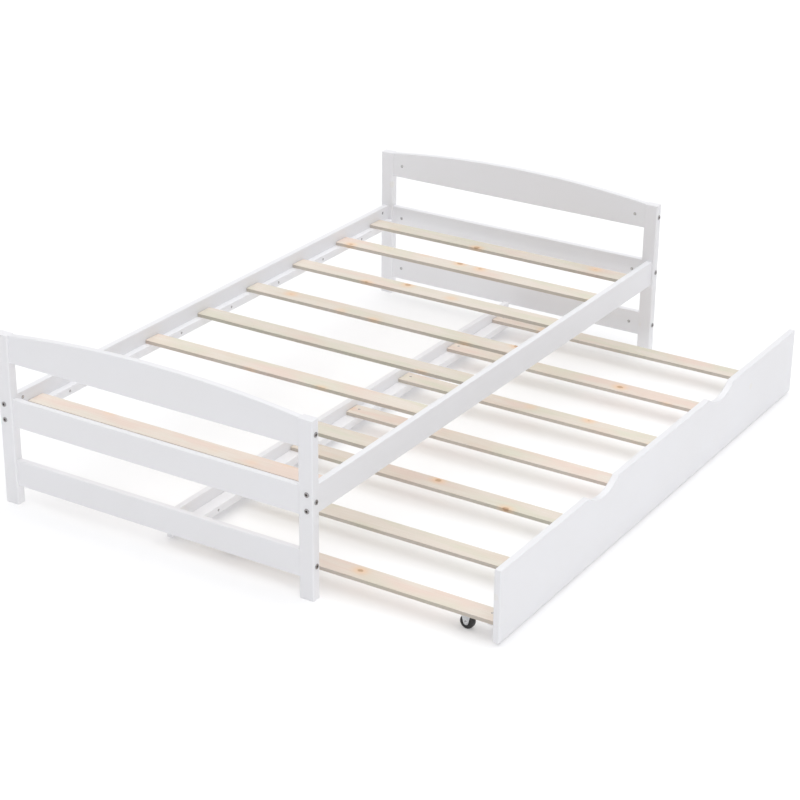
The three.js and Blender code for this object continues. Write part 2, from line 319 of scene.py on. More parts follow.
def makePine(name, values, sawnAndShaded):
    # planed faces, or, with the flag set, the slats' rough, saw-marked edges, whose colour is also darkened as
    # painted shade
    material, tree, shader, point = startMaterial(name)
    grain = useGroup(tree, boardGrain, Point=point, **values["grain"])
    tint = addNode(tree, "ShaderNodeAttribute", attribute_name="boardTint").outputs["Fac"]
    ringShare = mathNode(tree, "MULTIPLY", grain["Rings"], values["ringShow"])
    colour = mixColour(tree, ringShare, values["earlyWood"], values["lateWood"])
    # patches of two tones wander along the boards, and a dark board has more of the greenish one
    patchShare = mapRange(tree, grain["Patches"], 0.40, 0.60, 0.0, values["patchShow"])
    tones = noiseNode(tree, scaledPoint(tree, point, (4.5, 9.0, 9.0)), 1.0, 1.0, 0.5)
    tones = mathNode(tree, "MULTIPLY_ADD", tint, 0.25, tones)
    toneShare = mapRange(tree, tones, 0.52, 0.72, 0.0, 1.0)
    patchTone = mixColour(tree, toneShare, values["greenish"], values["pinkish"])
    colour = mixColour(tree, patchShare, colour, patchTone)
    fibreShare = mapRange(tree, grain["Fibres"], 0.35, 0.75, 0.0, values["fibreShow"])
    colour = mixColour(tree, fibreShare, colour, values["lateWood"])
    haloShare = mathNode(tree, "POWER", grain["KnotHalo"], 1.5)
    haloShare = mathNode(tree, "MULTIPLY", haloShare, values["haloShow"])
    colour = mixColour(tree, haloShare, colour, values["halo"])
    knotShare = mathNode(tree, "MULTIPLY", grain["Knots"], values["knotShow"])
    colour = mixColour(tree, knotShare, colour, values["knot"])
    bright = mapRange(tree, tint, 0.0, 1.0, *values["boardBrightness"])
    if sawnAndShaded:
        # painted shade: the colour of the sawn faces is darkened to stand for the shade on the slats' edges
        bright = mathNode(tree, "MULTIPLY", bright, values["sawnPaintedShade"])
    shade = addNode(tree, "ShaderNodeHueSaturation")
    feed(tree, shade.inputs["Value"], bright)
    feed(tree, shade.inputs["Color"], colour)
    feed(tree, shader.inputs["Base Color"], shade.outputs[0])
    rough = mapRange(tree, grain["Fibres"], 0.3, 0.7, *values["roughness"])
    if sawnAndShaded:
        rough = mathNode(tree, "ADD", rough, values["sawnRoughness"], clamp=True)
    feed(tree, shader.inputs["Roughness"], rough)
    shader.inputs["IOR"].default_value = 1.42
    heights = [(grain["Rings"], 0.5, values["ringRelief"]), (grain["Fibres"], 0.6, values["fibreRelief"]),
               (grain["Knots"], 0.4, values["knotRelief"])]
    if sawnAndShaded:
        sawMarks = addNode(tree, "ShaderNodeTexWave", wave_type="BANDS", bands_direction="X")
        feed(tree, sawMarks.inputs["Vector"], point)
        sawMarks.inputs["Scale"].default_value = values["sawMarkScale"]
        sawMarks.inputs["Distortion"].default_value = 3.0
        heights.append((sawMarks.outputs["Fac"], 0.5, values["sawRelief"]))
    addBump(tree, shader, heights)
    return material


def smearRoughness(tree, shader, marks, limits):
    # duller where the finish is smeared
    feed(tree, shader.inputs["Roughness"], mapRange(tree, marks["Smears"], 0.0, 1.0, *limits))


zincValues = {
    "colour": (0.62, 0.63, 0.64, 1), "dull": (0.42, 0.43, 0.45, 1), "bright": (0.8, 0.8, 0.8, 1),
    "roughness": (0.24, 0.46), "crystalScale": 260.0, "scratchRelief": 0.02 * mm, "crystalRelief": 0.03 * mm,
}


def makeZinc(values):
    # bright zinc plating: faint crystals, drawn scratches, duller where it has been handled
    material, tree, shader, point = startMaterial("zincPlating")
    marks = useGroup(tree, handling, Point=point, SmearScale=70.0, SpeckScale=900.0)
    edges = useGroup(tree, edgeWear, Point=point)
    crystals = addNode(tree, "ShaderNodeTexVoronoi", feature="F1")
    feed(tree, crystals.inputs["Vector"], point)
    crystals.inputs["Scale"].default_value = values["crystalScale"]
    tone = mapRange(tree, crystals.outputs["Distance"], 0.0, 0.8, 0.0, 0.35)
    tone = mathNode(tree, "MULTIPLY_ADD", marks["Smears"], 0.55, tone, clamp=True)
    colour = mixColour(tree, tone, values["colour"], values["dull"])
    brightShare = mathNode(tree, "MULTIPLY", edges["Wear"], 0.5)
    colour = mixColour(tree, brightShare, colour, values["bright"])
    feed(tree, shader.inputs["Base Color"], colour)
    smearRoughness(tree, shader, marks, values["roughness"])
    shader.inputs["Metallic"].default_value = 1.0
    scratches = noiseNode(tree, scaledPoint(tree, point, (60.0, 1400.0, 900.0)), 1.0, 2.0, 0.6)
    addBump(tree, shader, [(scratches, 0.3, values["scratchRelief"]),
                           (crystals.outputs["Distance"], 0.12, values["crystalRelief"])])
    return material


# bright is a painted highlight, laid on every edge of the bolts, nuts and screws
boltValues = {
    "colour": (0.40, 0.40, 0.41, 1), "bright": (0.85, 0.85, 0.86, 1),
    "stain": (0.30, 0.25, 0.215, 1), "roughness": (0.16, 0.38),
}
# the socket floors: the steel darkened to near black as painted shade in the recess
socketShadeValues = {
    "colour": (0.018, 0.018, 0.02, 1), "bright": (0.05, 0.05, 0.052, 1),
    "stain": (0.30, 0.25, 0.215, 1), "roughness": (0.5, 0.7),
}


def makeBoltSteel(name, values):
    # plain steel with a painted highlight on every corner; the same again, nearly black, painted as shade
    # inside the sockets
    material, tree, shader, point = startMaterial(name)
    marks = useGroup(tree, handling, Point=point, SmearScale=180.0, SpeckScale=1500.0)
    edges = useGroup(tree, edgeWear, Point=point, Start=0.53, Full=0.62)
    stainShare = mathNode(tree, "MULTIPLY", marks["Smears"], 0.5)
    colour = mixColour(tree, stainShare, values["colour"], values["stain"])
    # painted highlight: the whole edge mask lifts the colour to bright, unbroken, in place of a glint
    colour = mixColour(tree, edges["Edge"], colour, values["bright"])
    feed(tree, shader.inputs["Base Color"], colour)
    smearRoughness(tree, shader, marks, values["roughness"])
    shader.inputs["Metallic"].default_value = 1.0
    addBump(tree, shader, [(marks["Stipple"], 0.25, 0.03 * mm)])
    return material


wheelValues = {
    "colour": (0.014, 0.014, 0.015, 1), "scuffed": (0.075, 0.073, 0.07, 1),
    "wornEdge": (0.12, 0.118, 0.112, 1), "roughness": (0.34, 0.62),
}


def makeWheelPlastic(values):
    # black moulded nylon with floor dust and scuffs on the tread
    material, tree, shader, point = startMaterial("wheelPlastic")
    marks = useGroup(tree, handling, Point=point, SmearScale=90.0, SpeckScale=1100.0)
    edges = useGroup(tree, edgeWear, Point=point, Start=0.52, Full=0.6)
    dust = mathNode(tree, "MULTIPLY", marks["Smears"], 0.35)
    dust = mathNode(tree, "MULTIPLY_ADD", marks["Specks"], 0.4, dust, clamp=True)
    colour = mixColour(tree, dust, values["colour"], values["scuffed"])
    wornShare = mathNode(tree, "MULTIPLY", edges["Wear"], 0.7)
    colour = mixColour(tree, wornShare, colour, values["wornEdge"])
    feed(tree, shader.inputs["Base Color"], colour)
    smearRoughness(tree, shader, marks, values["roughness"])
    addBump(tree, shader, [(marks["Stipple"], 0.35, 0.06 * mm)])
    return material


whitePaint = makeWhitePaint(whitePaintValues)
planedPine = makePine("planedPine", pineValues, sawnAndShaded=False)
# the slats' sawn edges: rougher and saw-marked, with painted shade darkening their colour
sawnPine = makePine("sawnPine", pineValues, sawnAndShaded=True)
zincPlating = makeZinc(zincValues)
boltSteel = makeBoltSteel("boltSteel", boltValues)
socketSteel = makeBoltSteel("socketSteel", socketShadeValues)
wheelPlastic = makeWheelPlastic(wheelValues)
for owner in bpy.data.materials:
    if owner.use_nodes:
        layOut(owner.node_tree)
for tree in bpy.data.node_groups:
    layOut(tree)
print("materials: made")


# from meshes to pieces

def nodeMiddle(node):
    low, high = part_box(node)
    return (Vector(low) + Vector(high)) / 2


def nodeSize(node):
    low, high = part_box(node)
    return Vector(high) - Vector(low)


# a board is drawn with its length on X, its thickness on Y and its width on Z, then turned by one of these
asDrawn = Matrix.Identity(4)
alongY = Matrix(((0, -1, 0), (1, 0, 0), (0, 0, 1))).to_4x4()         # on edge, length on Y
upright = Matrix(((0, 0, 1), (0, 1, 0), (-1, 0, 0))).to_4x4()        # length on Z, width on X
flatAlongX = Matrix(((1, 0, 0), (0, 0, 1), (0, -1, 0))).to_4x4()     # lying flat, length on X
flatAlongY = Matrix(((0, 0, -1), (1, 0, 0), (0, -1, 0))).to_4x4()    # lying flat, length on Y


def finishPiece(name, bm, turn, middle, body, materials, seed, nodes=()):
    # writes each point's place in its own timber, so the figure follows every board
    dice = random.Random(seed)
    pith = Vector((dice.uniform(-40, 40), dice.choice((-1, 1)) * dice.uniform(0.03, 0.075),
                   dice.uniform(0.018, 0.05)))
    tint = dice.random()
    bm.normal_update()
    mesh = bpy.data.meshes.new(name)
    bm.to_mesh(mesh)
    bm.free()
    places = []
    for vertex in mesh.vertices:
        x, y, z = vertex.co
        places += [x + pith.x, z + pith.y, y + pith.z]
    mesh.attributes.new("grainPoint", "FLOAT_VECTOR", "POINT").data.foreach_set("vector", places)
    shades = [tint] * len(mesh.vertices)
    mesh.attributes.new("boardTint", "FLOAT", "POINT").data.foreach_set("value", shades)
    mesh.transform(Matrix.Translation(middle) @ turn)
    for material in materials:
        mesh.materials.append(material)
    mesh.shade_smooth()
    piece = bpy.data.objects.new(name, mesh)
    bpy.context.collection.objects.link(piece)
    even = piece.modifiers.new("evenShading", "WEIGHTED_NORMAL")
    even.keep_sharp = True
    even.weight = 60
    if nodes:
        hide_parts(*nodes)
    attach(piece, body)
    return piece


def bridgeLoops(bm, first, second, material=0):
    # a band of four-sided faces between two loops
    count = len(first)
    for index in range(count):
        after = (index + 1) % count
        face = bm.faces.new((first[index], first[after], second[after], second[index]))
        face.material_index = material


def crossSection(halfThickness, low, high, radius, segments):
    # rounded rectangle in the Y-Z plane, from the lower -Y corner round
    points = []
    corners = [(-halfThickness + radius, low + radius, 180), (halfThickness - radius, low + radius, 270),
               (halfThickness - radius, high - radius, 0), (-halfThickness + radius, high - radius, 90)]
    for y, z, start in corners:
        for step in range(segments + 1):
            angle = math.radians(start + 90 * step / segments)
            points.append((y + radius * math.cos(angle), z + radius * math.sin(angle)))
    return points


def sweptBoard(length, thickness, lowAt, highAt, edgeRound, endRound, stations, segments=4, lift=None):
    # sections along X joined into one skin. lowAt and highAt give the edges' heights at x
    bm = bmesh.new()
    half = length / 2
    places = []
    endSteps = 4
    for step in range(endSteps):
        angle = math.pi / 2 * step / endSteps
        places.append((-half + endRound * (1 - math.cos(angle)), endRound * (1 - math.sin(angle))))
    inner = [x for x in stations if abs(x) < half - endRound * 1.5]
    places += [(-half + endRound, 0.0)] + [(x, 0.0) for x in sorted(inner)] + [(half - endRound, 0.0)]
    places += [(-x, inset) for x, inset in reversed(places[:endSteps])]
    rings = []
    for x, inset in places:
        low, high = lowAt(x) + inset, highAt(x) - inset
        radius = max(edgeRound - inset, 0.15 * edgeRound)
        raised = lift(x) if lift else 0.0
        section = crossSection(thickness / 2 - inset, low, high, radius, segments)
        rings.append([bm.verts.new((x, y + raised, z)) for y, z in section])
    for first, second in zip(rings, rings[1:]):
        bridgeLoops(bm, first, second)
    bm.faces.new(list(reversed(rings[0])))
    bm.faces.new(rings[-1])
    bmesh.ops.recalc_face_normals(bm, faces=bm.faces)
    return bm


def evenly(length, count):
    return [length * (index / count - 0.5) for index in range(count + 1)]


def straightBoard(length, thickness, width, edgeRound, endRound, count=24, segments=4, lift=None):
    return sweptBoard(length, thickness, lambda x: -width / 2, lambda x: width / 2, edgeRound, endRound,
                      evenly(length, count), segments, lift)


# the end panels and the side rails

def paintTimber(node, bm, turn, body, seed):
    return finishPiece(node + "_timber", bm, turn, nodeMiddle(node), body, [whitePaint],
                       seed, [node])


postValues = {"edgeRound": 4.2 * mm, "endRound": 1.6 * mm}


def makePost(node, seed):
    size = nodeSize(node)
    bm = straightBoard(size.z, size.y, size.x, postValues["edgeRound"], postValues["endRound"], 20, 5)
    return paintTimber(node, bm, upright, "bed_frame", seed)


topBoardValues = {"archRise": 30 * mm, "edgeRound": 3.4 * mm, "endRound": 0.5 * mm, "stations": 96}


def makeTopBoard(node, seed):
    values = topBoardValues
    size = nodeSize(node)
    halfChord = size.x / 2
    rise = values["archRise"]
    radius = (halfChord ** 2 + rise ** 2) / (2 * rise)
    crown = size.z / 2

    def archAt(x):
        return crown - radius + math.sqrt(max(radius ** 2 - x ** 2, 0.0))

    bm = sweptBoard(size.x, size.y, lambda x: -size.z / 2, archAt, values["edgeRound"], values["endRound"],
                    evenly(size.x, values["stations"]))
    return paintTimber(node, bm, asDrawn, "bed_frame", seed)


railValues = {"edgeRound": 3.2 * mm, "endRound": 0.5 * mm, "freeEndRound": 3 * mm}


def makePanelRail(node, seed):
    size = nodeSize(node)
    bm = straightBoard(size.x, size.y, size.z, railValues["edgeRound"], railValues["endRound"])
    return paintTimber(node, bm, asDrawn, "bed_frame", seed)


def makeLongRail(node, body, endRound, seed):
    # side rails, which butt against posts, and the trundle's rear rail, whose ends are free
    size = nodeSize(node)
    bm = straightBoard(size.y, size.x, size.z, railValues["edgeRound"], endRound, 40)
    return paintTimber(node, bm, alongY, body, seed)


seed = 100
for end in ("foot", "head"):
    for side in ("left", "right"):
        makePost(f"{end}_post_{side}", seed)
        seed += 1
    makeTopBoard(f"{end}_top_board", seed + 1)
    makePanelRail(f"{end}_middle_rail", seed + 2)
    makePanelRail(f"{end}_lower_rail", seed + 3)
    seed += 10
for side in ("left", "right"):
    makeLongRail(f"side_rail_{side}", "bed_frame", railValues["endRound"], seed)
    seed += 1
print("end panels and side rails: made")


# the ledgers and slats

ledgerValues = {"edgeRound": 1.8 * mm, "endRound": 0.8 * mm}


def makeLedger(node, body, seed):
    size = nodeSize(node)
    bm = straightBoard(size.y, size.z, size.x, ledgerValues["edgeRound"], ledgerValues["endRound"], 40)
    return paintTimber(node, bm, flatAlongY, body, seed)


slatValues = {"edgeRound": 1.7 * mm, "endRound": 0.7 * mm, "crown": 0.7 * mm}


def makeSlat(node, body, seed):
    size = nodeSize(node)
    dice = random.Random(seed * 7)
    crown = dice.uniform(-1, 1) * slatValues["crown"]        # each slat has dried to its own slight bow

    def bow(x):
        return -crown * (1 - (2 * x / size.x) ** 2)

    bm = straightBoard(size.x, size.z, size.y, slatValues["edgeRound"], slatValues["endRound"], 32, 4, bow)
    for face in bm.faces:
        # the narrow sides and the cut ends were sawn, not planed, and their darker colour is painted shade
        if abs(face.normal.z) > 0.9 or abs(face.normal.x) > 0.9:
            face.material_index = 1
    return finishPiece(node + "_wood", bm, flatAlongX, nodeMiddle(node), body, [planedPine, sawnPine],
                       seed, [node])


for side in ("left", "right"):
    makeLedger(f"ledger_{side}", "bed_frame", seed)
    seed += 1
for index in range(1, 9):
    makeSlat(f"slat_{index}", "bed_frame", 300 + index)
print("bed slats: made")


# the trundle's own boards

frontBoardValues = {
    "edgeRound": 3.6 * mm, "endRound": 3.6 * mm,
    "scoopMiddle": 378 * mm, "scoopLength": 172 * mm, "scoopDepth": 30 * mm,
    "stations": 40, "scoopStations": 48,
}


def makeFrontBoard(node, seed):
    values = frontBoardValues
    size = nodeSize(node)
    top = size.z / 2
    half = values["scoopLength"] / 2
    depth = values["scoopDepth"]
    radius = (half ** 2 + depth ** 2) / (2 * depth)

    def topAt(x):
        fromScoop = abs(abs(x) - values["scoopMiddle"])
        if fromScoop >= half:
            return top
        return top - depth + radius - math.sqrt(radius ** 2 - fromScoop ** 2)

    stations = evenly(size.y, values["stations"])
    steps = values["scoopStations"]
    for middle in (-values["scoopMiddle"], values["scoopMiddle"]):
        stations = [x for x in stations if abs(x - middle) > half + 4 * mm]
        stations += [middle + half * (2 * step / steps - 1) for step in range(steps + 1)]
    bm = sweptBoard(size.y, size.x, lambda x: -size.z / 2, topAt, values["edgeRound"], values["endRound"],
                    stations)
    return paintTimber(node, bm, alongY, "trundle", seed)


makeFrontBoard("trundle_front_board", 501)
makeLongRail("trundle_rear_rail", "trundle", railValues["freeEndRound"], 502)
makeLedger("trundle_ledger_front", "trundle", 503)
makeLedger("trundle_ledger_rear", "trundle", 504)
for index in range(1, 8):
    makeSlat(f"trundle_slat_{index}", "trundle", 400 + index)
print("trundle: made")


# bolts, nuts and screws

def ringLoop(bm, radius, height, count, hexApothem=None):
    # a round loop, or a hexagonal one drawn with as many points
    loop = []
    for index in range(count):
        angle = 2 * math.pi * index / count
        reach = radius
        if hexApothem is not None:
            within = (angle + math.pi / 6) % (math.pi / 3) - math.pi / 6
            reach = hexApothem / math.cos(within)
        loop.append(bm.verts.new((reach * math.cos(angle), reach * math.sin(angle), height)))
    return loop


def appendShape(target, source, place):
    # copies source, moved by place, into target
    lookup = {}
    for vertex in source.verts:
        lookup[vertex] = target.verts.new(place @ vertex.co)
    for face in source.faces:
        made = target.faces.new([lookup[vertex] for vertex in face.verts])
        made.material_index = face.material_index


boltHeadValues = {
    "radius": 7.5 * mm, "height": 2.4 * mm, "edge": 0.9 * mm, "socket": 3.4 * mm, "socketDepth": 2.2 * mm,
}
shankValues = {"radius": 3 * mm, "pitch": 1.25 * mm, "headAllowance": 2.5 * mm, "shorter": 3 * mm}


def boltHeadShape(values):
    # flat furniture bolt: low round head, rolled edge, hexagonal socket. The seat is at Z = 0
    bm = bmesh.new()
    count = 36
    radius, height, edge = values["radius"], values["height"], values["edge"]
    loops = [ringLoop(bm, radius - 0.15 * mm, 0.0, count), ringLoop(bm, radius, 0.25 * mm, count)]
    loops.append(ringLoop(bm, radius, height - edge, count))
    for step in range(1, 4):
        angle = math.pi / 2 * step / 3
        inset, drop = edge * (1 - math.cos(angle)), edge * (1 - math.sin(angle))
        loops.append(ringLoop(bm, radius - inset, height - drop, count))
    loops.append(ringLoop(bm, radius - edge - 0.9 * mm, height, count))
    loops.append(ringLoop(bm, radius - edge - 1.3 * mm, height - 0.18 * mm, count))
    loops.append(ringLoop(bm, 0, height - 0.18 * mm, count, values["socket"] + 0.25 * mm))
    loops.append(ringLoop(bm, 0, height - 0.4 * mm, count, values["socket"]))
    loops.append(ringLoop(bm, 0, height - values["socketDepth"], count, values["socket"]))
    # the band down to the socket floor and the floor itself take material 1, the painted shade
    for first, second in zip(loops, loops[1:]):
        bridgeLoops(bm, first, second, material=1 if second is loops[-1] else 0)
    bm.faces.new(loops[-1]).material_index = 1
    bm.faces.new(list(reversed(loops[0])))
    bmesh.ops.recalc_face_normals(bm, faces=bm.faces)
    return bm


def threadedShank(bm, radius, length, pitch, count=16):
    # ridged shank running down from Z = 0, joined into bm
    steps = int(length / (pitch / 2))
    loops = []
    for step in range(steps + 1):
        height = -length * step / steps
        reach = radius if step % 2 == 0 or step < 4 else radius * 0.86
        loops.append(ringLoop(bm, reach, height, count))
    for first, second in zip(loops, loops[1:]):
        bridgeLoops(bm, second, first)
    bm.faces.new(loops[0])
    bm.faces.new(list(reversed(loops[-1])))


def facing(direction):
    # turns local Z to the direction
    return Vector((0, 0, 1)).rotation_difference(Vector(direction)).to_matrix().to_4x4()


def makeRailBolts():
    # the long bolts through the posts into the side rails' ends, one piece for each CAD bolt
    for side in ("left", "right"):
        for end, outward in (("foot", -1), ("head", 1)):
            for level in ("lower", "upper"):
                node = f"bolt_{end}_{side}_{level}"
                low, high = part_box(node)
                allowance = shankValues["headAllowance"]
                seatY = low[1] + allowance if outward < 0 else high[1] - allowance
                bm = boltHeadShape(boltHeadValues)
                length = high[1] - low[1] - shankValues["shorter"]
                threadedShank(bm, shankValues["radius"], length, shankValues["pitch"])
                bmesh.ops.recalc_face_normals(bm, faces=bm.faces)
                seat = Vector(((low[0] + high[0]) / 2, seatY, (low[2] + high[2]) / 2))
                spin = Matrix.Rotation(0.4 * len(node) + seatY, 4, "Z")
                finishPiece(node + "_steel", bm, facing((0, outward, 0)) @ spin, seat, "bed_frame",
                            [boltSteel, socketSteel], 600, [node])


def panelBoardHeights(end):
    # the height at which each of the panel's boards is bolted
    return {
        "top": (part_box(f"{end}_top_board")[0][2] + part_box(f"{end}_post_left")[1][2]) / 2,
        "middle": nodeMiddle(f"{end}_middle_rail").z + 2 * mm,
        "lower": nodeMiddle(f"{end}_lower_rail").z,
    }


def makePanelBolts():
    # bolts through the posts' side faces into the ends of the panels' boards
    for end in ("foot", "head"):
        for side, outward in (("left", -1), ("right", 1)):
            low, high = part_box(f"{end}_post_{side}")
            faceX = low[0] if outward < 0 else high[0]
            for level, height in panelBoardHeights(end).items():
                bm = boltHeadShape(boltHeadValues)
                board = f"{end}_{level}_board" if level == "top" else f"{end}_{level}_rail"
                seat = Vector((faceX, nodeMiddle(board).y, height))
                spin = Matrix.Rotation(height * 9, 4, "Z")
                finishPiece(f"panel_bolt_{end}_{side}_{level}", bm, facing((outward, 0, 0)) @ spin, seat,
                            "bed_frame", [boltSteel, socketSteel], 610)


barrelNutValues = {"radius": 5.2 * mm, "fromPost": 36 * mm}


def barrelNutShape(values):
    # the round end of a cross dowel, with its screwdriver slot, just proud of the board
    bm = bmesh.new()
    count = 28
    radius = values["radius"]
    loops = [ringLoop(bm, radius, 0.0, count), ringLoop(bm, radius, 0.25 * mm, count),
             ringLoop(bm, radius - 0.5 * mm, 0.6 * mm, count), ringLoop(bm, radius - 1.1 * mm, 0.6 * mm, count),
             ringLoop(bm, radius - 1.7 * mm, 0.1 * mm, count), ringLoop(bm, 0.9 * mm, 0.1 * mm, count)]
    for first, second in zip(loops, loops[1:]):
        bridgeLoops(bm, first, second)
    bm.faces.new(loops[-1])
    bm.faces.new(list(reversed(loops[0])))
    for side in (-1, 1):
        # two raised lands leave the slot between them
        land = bmesh.new()
        bmesh.ops.create_cube(land, size=1)
        bmesh.ops.scale(land, vec=(2.2 * (radius - 2 * mm), 1.5 * mm, 0.55 * mm), verts=land.verts)
        bmesh.ops.bevel(land, geom=land.edges, offset=0.15 * mm, segments=2, affect="EDGES")
        appendShape(bm, land, Matrix.Translation((0, side * 1.6 * mm, 0.3 * mm)))
        land.free()
    bmesh.ops.recalc_face_normals(bm, faces=bm.faces)
    return bm


def makeBarrelNuts():
    values = barrelNutValues
    shape = barrelNutShape(values)
    count = 0
    for end, inward in (("foot", 1), ("head", -1)):
        for level, height in panelBoardHeights(end).items():
            board = f"{end}_{level}_board" if level == "top" else f"{end}_{level}_rail"
            low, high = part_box(board)
            faceY = high[1] if inward > 0 else low[1]
            for x, name in ((low[0] + values["fromPost"], "left"), (high[0] - values["fromPost"], "right")):
                seat = Vector((x, faceY, height))
                finishPiece(f"panel_nut_{end}_{name}_{level}", shape.copy(),
                            facing((0, inward, 0)) @ Matrix.Rotation(x * 3, 4, "Z"), seat, "bed_frame",
                            [boltSteel], 620)
                count += 1
    for side, inward in (("left", 1), ("right", -1)):
        low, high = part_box(f"side_rail_{side}")
        faceX = high[0] if inward > 0 else low[0]
        for end, y in (("foot", low[1] + values["fromPost"]), ("head", high[1] - values["fromPost"])):
            upper = nodeMiddle(f"bolt_{end}_{side}_upper").z
            seat = Vector((faceX, y, upper))
            finishPiece(f"rail_nut_{side}_{end}", shape.copy(),
                        facing((inward, 0, 0)) @ Matrix.Rotation(y * 3, 4, "Z"), seat, "bed_frame",
                        [boltSteel], 621)
            count += 1
    shape.free()
    return count


woodScrewValues = {"radius": 4.0 * mm}


def woodScrewShape(values):
    # countersunk screw head with a cross recess, flush with the wood, the face at Z = 0
    bm = bmesh.new()
    count = 24
    radius = values["radius"]
    loops = [ringLoop(bm, radius * 0.7, -1.2 * mm, count), ringLoop(bm, radius, -0.1 * mm, count),
             ringLoop(bm, radius, 0.15 * mm, count), ringLoop(bm, radius - 0.35 * mm, 0.3 * mm, count),
             ringLoop(bm, radius * 0.55, 0.3 * mm, count)]
    cross = []
    for index in range(count):
        angle = 2 * math.pi * index / count
        reach = radius * (0.5 if index % 6 in (0, 1, 5) else 0.2)
        cross.append(bm.verts.new((reach * math.cos(angle), reach * math.sin(angle), 0.3 * mm)))
    loops.append(cross)
    floorLoop = [bm.verts.new((v.co.x * 0.7, v.co.y * 0.7, -0.8 * mm)) for v in cross]
    loops.append(floorLoop)
    for first, second in zip(loops, loops[1:]):
        bridgeLoops(bm, first, second)
    bm.faces.new(loops[-1])
    bm.faces.new(list(reversed(loops[0])))
    bmesh.ops.recalc_face_normals(bm, faces=bm.faces)
    return bm


def slatCentres(prefix, count):
    return [nodeMiddle(f"{prefix}_{index}").y for index in range(1, count + 1)]


def makeLedgerScrews():
    # one screw in each gap between slats, a little off its middle, driven through the ledger into its rail
    centres = {"bed": slatCentres("slat", 8), "trundle": slatCentres("trundle_slat", 7)}
    rows = [("ledger_left", "bed_frame", 1, "bed"), ("ledger_right", "bed_frame", -1, "bed"),
            ("trundle_ledger_rear", "trundle", 1, "trundle"),
            ("trundle_ledger_front", "trundle", -1, "trundle")]
    shape = woodScrewShape(woodScrewValues)
    for ledger, body, inward, deck in rows:
        low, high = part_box(ledger)
        faceX = high[0] if inward > 0 else low[0]
        gang = bmesh.new()
        for first, second in zip(centres[deck], centres[deck][1:]):
            y = first + (second - first) * 0.46
            place = Matrix.Translation((faceX, y, (low[2] + high[2]) / 2)) @ facing((inward, 0, 0))
            appendShape(gang, shape, place @ Matrix.Rotation(y * 11, 4, "Z"))
        finishPiece(ledger + "_screws", gang, asDrawn, Vector(), body, [boltSteel], 630)
    shape.free()


slatScrewValues = {"fromEnd": 24 * mm, "offMiddle": 4 * mm, "sunk": 0.1 * mm}


def makeSlatScrews():
    # the trundle's slats are screwed down, one screw at each end
    shape = woodScrewShape(woodScrewValues)
    gang = bmesh.new()
    for index in range(1, 8):
        low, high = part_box(f"trundle_slat_{index}")
        for x in (low[0] + slatScrewValues["fromEnd"], high[0] - slatScrewValues["fromEnd"]):
            place = Matrix.Translation((x, (low[1] + high[1]) / 2 + slatScrewValues["offMiddle"],
                                        high[2] - slatScrewValues["sunk"]))
            appendShape(gang, shape, place @ Matrix.Rotation(x * 40 + index, 4, "Z"))
    finishPiece("trundle_slat_screws", gang, asDrawn, Vector(), "trundle", [boltSteel], 631)
    shape.free()


makeRailBolts()
makePanelBolts()
nutCount = makeBarrelNuts()
makeLedgerScrews()
makeSlatScrews()
print("fasteners: made, with", nutCount, "barrel nuts")


# the casters

forkValues = {
    "sheet": 2.0 * mm, "plateLength": 46 * mm, "plateWidth": 34 * mm, "plateCorner": 5 * mm,
    "legTop": 14 * mm, "legEnd": 7.5 * mm, "bend": 1.6 * mm, "easedEdge": 0.35 * mm, "wheelGap": 1 * mm,
}


def slabFromOutline(outline, thickness, edge):
    # a sheet-metal blank: the outline in X-Y, thickness upwards from Z = 0, edges eased
    bm = bmesh.new()
    lower = [bm.verts.new((x, y, 0)) for x, y in outline]
    upper = [bm.verts.new((x, y, thickness)) for x, y in outline]
    bridgeLoops(bm, lower, upper)
    top = bm.faces.new(upper)
    bottom = bm.faces.new(list(reversed(lower)))
    rim = list(top.edges) + list(bottom.edges)
    bmesh.ops.bevel(bm, geom=rim, offset=edge, segments=2, affect="EDGES")
    bmesh.ops.recalc_face_normals(bm, faces=bm.faces)
    return bm


def arcPoints(x, y, radius, start, end, steps):
    return [(x + radius * math.cos(math.radians(start + (end - start) * k / steps)),
             y + radius * math.sin(math.radians(start + (end - start) * k / steps))) for k in range(steps + 1)]


